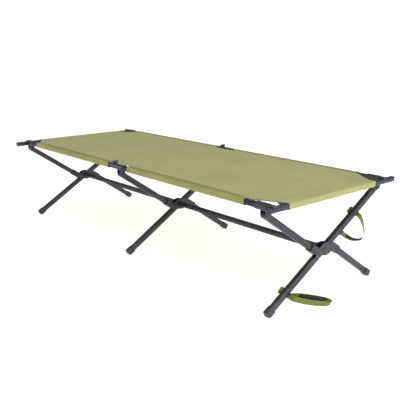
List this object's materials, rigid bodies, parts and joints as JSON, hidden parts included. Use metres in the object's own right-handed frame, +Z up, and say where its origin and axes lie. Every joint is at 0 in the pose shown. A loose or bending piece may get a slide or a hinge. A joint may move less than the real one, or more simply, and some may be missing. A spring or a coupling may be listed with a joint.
{
  "type": "folding stretcher bed",
  "caption": "Folding camp bed stretcher: taut fabric bed on hinged side rails, three scissor leg frames joined by stretcher bars, and drop-in end bars.",
  "frame": {"origin": "on the ground, at the middle of the outline of the open bed with its straps", "axes": "+X along the bed towards the end that carries the straps, -Y the near long side, +Y the far long side, +Z up"},
  "size_m": [1.9728, 0.806, 0.4494],
  "materials": {
    "black_aluminium": "black anodised extrusion, satin, fine lengthwise ribs",
    "cast_black": "black coated casting, matte",
    "foot_plastic": "black moulded plastic",
    "rivet_steel": "dark steel rivet",
    "canvas_panel": "taut olive canvas",
    "canvas_sleeve": "doubled olive canvas sleeve with stitching",
    "webbing": "olive webbing with black hook-and-loop patch"
  },
  "bodies": {
    "legs_a_right": {"leg_a_mid_foot": "foot_plastic", "leg_a_mid_lower_tube": "black_aluminium", "leg_a_mid_upper_tube": "black_aluminium", "leg_a_right_foot": "foot_plastic", "leg_a_right_lower_tube": "black_aluminium", "leg_a_right_upper_tube": "black_aluminium", "pivot_rivet_mid": "rivet_steel", "pivot_rivet_right": "rivet_steel", "stretcher_bar_right": "black_aluminium", "yoke_mid": "cast_black", "yoke_right": "cast_black"},
    "legs_b_right": {"leg_b_mid_foot": "foot_plastic", "leg_b_mid_tube": "black_aluminium", "leg_b_right_foot": "foot_plastic", "leg_b_right_tube": "black_aluminium", "strap_lower": "webbing", "strap_upper": "webbing"},
    "rail_near_right": {"bed_panel_right": "canvas_panel", "hinge_near_pin": "rivet_steel", "hinge_near_right_leaf": "cast_black", "rail_near_middle_bracket": "cast_black", "rail_near_right_corner_bracket": "cast_black", "rail_near_right_end_fitting": "cast_black", "rail_near_right_tube": "black_aluminium", "side_sleeve_near_right": "canvas_sleeve"},
    "rail_far_right": {"hinge_far_pin": "rivet_steel", "hinge_far_right_leaf": "cast_black", "rail_far_middle_bracket": "cast_black", "rail_far_right_corner_bracket": "cast_black", "rail_far_right_end_fitting": "cast_black", "rail_far_right_tube": "black_aluminium", "side_sleeve_far_right": "canvas_sleeve"},
    "rail_near_left": {"bed_panel_left": "canvas_panel", "hinge_near_left_leaf": "cast_black", "rail_near_left_corner_bracket": "cast_black", "rail_near_left_end_fitting": "cast_black", "rail_near_left_tube": "black_aluminium", "side_sleeve_near_left": "canvas_sleeve"},
    "legs_a_left": {"leg_a_left_foot": "foot_plastic", "leg_a_left_lower_tube": "black_aluminium", "leg_a_left_upper_tube": "black_aluminium", "pivot_rivet_left": "rivet_steel", "stretcher_bar_left": "black_aluminium", "yoke_left": "cast_black"},
    "legs_b_left": {"leg_b_left_foot": "foot_plastic", "leg_b_left_tube": "black_aluminium"},
    "rail_far_left": {"hinge_far_left_leaf": "cast_black", "rail_far_left_corner_bracket": "cast_black", "rail_far_left_end_fitting": "cast_black", "rail_far_left_tube": "black_aluminium", "side_sleeve_far_left": "canvas_sleeve"},
    "end_bar_right": {"end_bar_right_cap_far": "foot_plastic", "end_bar_right_cap_near": "foot_plastic", "end_bar_right_tube": "black_aluminium"},
    "end_bar_left": {"end_bar_left_cap_far": "foot_plastic", "end_bar_left_cap_near": "foot_plastic", "end_bar_left_tube": "black_aluminium"}
  },
  "joints": [
    {"name": "scissor", "type": "hinge", "parent": "legs_a_right", "child": "legs_b_right", "pos_m": [0.86862, 0, 0.1946], "axis": [1, 0, 0], "range_deg": [0, 114], "deforming": ["bed_panel_left", "bed_panel_right", "strap_upper", "strap_lower"]},
    {"name": "rail_near_level", "type": "hinge", "parent": "legs_a_right", "child": "rail_near_right", "pos_m": [0.86862, -0.335, 0.392], "axis": [1, 0, 0], "range_deg": [0, 57]},
    {"name": "rail_far_level", "type": "hinge", "parent": "legs_b_right", "child": "rail_far_right", "pos_m": [0.86862, 0.335, 0.392], "axis": [1, 0, 0], "range_deg": [-57, 0]},
    {"name": "mid_fold", "type": "hinge", "parent": "rail_near_right", "child": "rail_near_left", "pos_m": [-0.07137, -0.335, 0.444], "axis": [0, 1, 0], "range_deg": [0, 180]},
    {"name": "legs_a_left_level", "type": "hinge", "parent": "rail_near_left", "child": "legs_a_left", "pos_m": [-0.94137, -0.335, 0.392], "axis": [1, 0, 0], "range_deg": [-57, 0]},
    {"name": "scissor_left", "type": "hinge", "parent": "legs_a_left", "child": "legs_b_left", "pos_m": [-0.94137, 0, 0.1946], "axis": [1, 0, 0], "range_deg": [0, 114]},
    {"name": "rail_far_left_level", "type": "hinge", "parent": "legs_b_left", "child": "rail_far_left", "pos_m": [-0.94137, 0.335, 0.392], "axis": [1, 0, 0], "range_deg": [-57, 0]},
    {"name": "end_bar_right_drop", "type": "hinge", "parent": "rail_near_right", "child": "end_bar_right", "pos_m": [0.90112, -0.425, 0.418], "axis": [1, 0, 0], "range_deg": [-90.01, 0]},
    {"name": "end_bar_left_drop", "type": "hinge", "parent": "rail_near_left", "child": "end_bar_left", "pos_m": [-0.97388, -0.425, 0.418], "axis": [1, 0, 0], "range_deg": [-90.01, 0]}
  ],
  "couplings": [
    {"joint": "rail_near_level", "follows": "scissor", "ratio": 0.5},
    {"joint": "rail_far_level", "follows": "scissor", "ratio": -0.5},
    {"joint": "legs_a_left_level", "follows": "scissor", "ratio": -0.5},
    {"joint": "scissor_left", "follows": "scissor", "ratio": 1},
    {"joint": "rail_far_left_level", "follows": "scissor", "ratio": -0.5},
    {"joint": "end_bar_right_drop", "follows": "scissor", "ratio": -0.78947},
    {"joint": "end_bar_left_drop", "follows": "scissor", "ratio": -0.78947}
  ]
}
